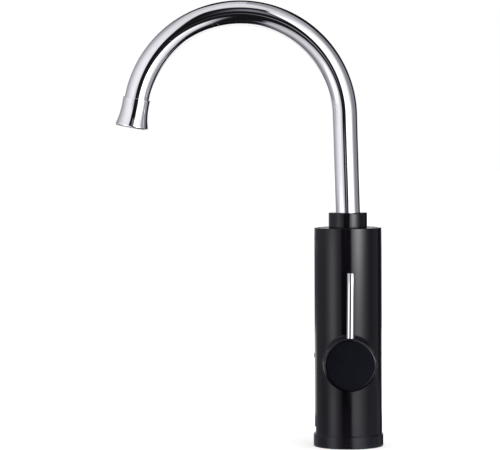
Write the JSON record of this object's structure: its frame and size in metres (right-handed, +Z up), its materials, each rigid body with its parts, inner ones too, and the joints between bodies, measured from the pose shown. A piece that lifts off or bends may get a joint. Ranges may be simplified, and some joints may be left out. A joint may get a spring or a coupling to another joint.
{
  "type": "electric instant water heater tap",
  "caption": "Deck-mounted instant heating tap: black cylindrical body, side lever on a round knob, slender chrome gooseneck spout with flared aerator, threaded inlet shank.",
  "frame": {"origin": "centre of the foot's underside, on the worktop surface and on the body's axis", "axes": "+Z up along the body; the spout reaches towards -X at rest; the lever and knob are on the -Y side"},
  "size_m": [0.2366, 0.081, 0.4537],
  "materials": {
    "black_plastic": "semi-gloss moulded black",
    "satin_black": "fine satin",
    "window_plastic": "polished smoked window",
    "lamp_plastic": "tinted lens",
    "white_plastic": "natural moulded",
    "chrome": "bright polished plating",
    "brass": "turned",
    "steel": "zinc plated or stainless",
    "copper": "drawn copper pipe",
    "rubber": "moulded",
    "ceramic": "lapped alumina",
    "board_green": "solder mask",
    "magnet": "sintered ferrite"
  },
  "bodies": {
    "body": {"body_shell": "black_plastic", "top_cap": "black_plastic", "foot_ring": "black_plastic", "base_plate": "black_plastic", "foot_screws": "steel", "base_gasket": "rubber", "inlet_shank": "brass", "rubber_washer": "rubber", "steel_washer": "steel", "fixing_nut": "brass", "inlet_filter": "white_plastic", "cord_gland": "black_plastic", "terminal_block": "white_plastic", "terminal_screws": "steel", "valve_block": "brass", "cartridge_seal": "rubber", "fixed_disc": "ceramic", "cartridge_housing": "white_plastic", "cartridge_nut": "brass", "flow_tube": "white_plastic", "flow_guide": "white_plastic", "flow_spring": "steel", "reed_switch": "black_plastic", "control_board": "board_green", "board_screws": "steel", "power_triac": "black_plastic", "display_module": "black_plastic", "display_window": "window_plastic", "front_strip": "black_plastic", "lamp_lens": "lamp_plastic", "heating_chamber": "white_plastic", "chamber_gasket": "rubber", "chamber_cap": "white_plastic", "heating_coil": "steel", "temperature_sensor": "steel", "thermal_cutout": "black_plastic", "cold_pipe": "copper", "outlet_socket": "brass", "collar_nut": "black_plastic"},
    "spout": {"spout_tube": "chrome", "spout_ferrule": "brass", "spout_o_rings": "rubber", "aerator_housing": "chrome", "aerator_washer": "rubber", "aerator_insert": "white_plastic"},
    "handle": {"knob": "black_plastic", "knob_cap": "satin_black", "knob_screw": "steel", "lever_rod": "chrome", "valve_stem": "brass", "moving_disc": "ceramic"},
    "flow_float": {"flow_float": "white_plastic", "flow_magnet": "magnet"}
  },
  "joints": [
    {"name": "spout_swivel", "type": "hinge", "parent": "body", "child": "spout", "pos_m": [0, 0, 0.19], "axis": [0, 0, 1], "continuous": true},
    {"name": "lever_turn", "type": "hinge", "parent": "body", "child": "handle", "pos_m": [0, -0.036, 0.076], "axis": [0, -1, 0], "range_deg": [-90, 90]},
    {"name": "flow_lift", "type": "slide", "parent": "body", "child": "flow_float", "axis": [0, 0, 1], "range_m": [0, 0.004], "stiffness_N_per_m": 60, "springref_m": -0.003, "deforming": ["flow_spring"]}
  ]
}
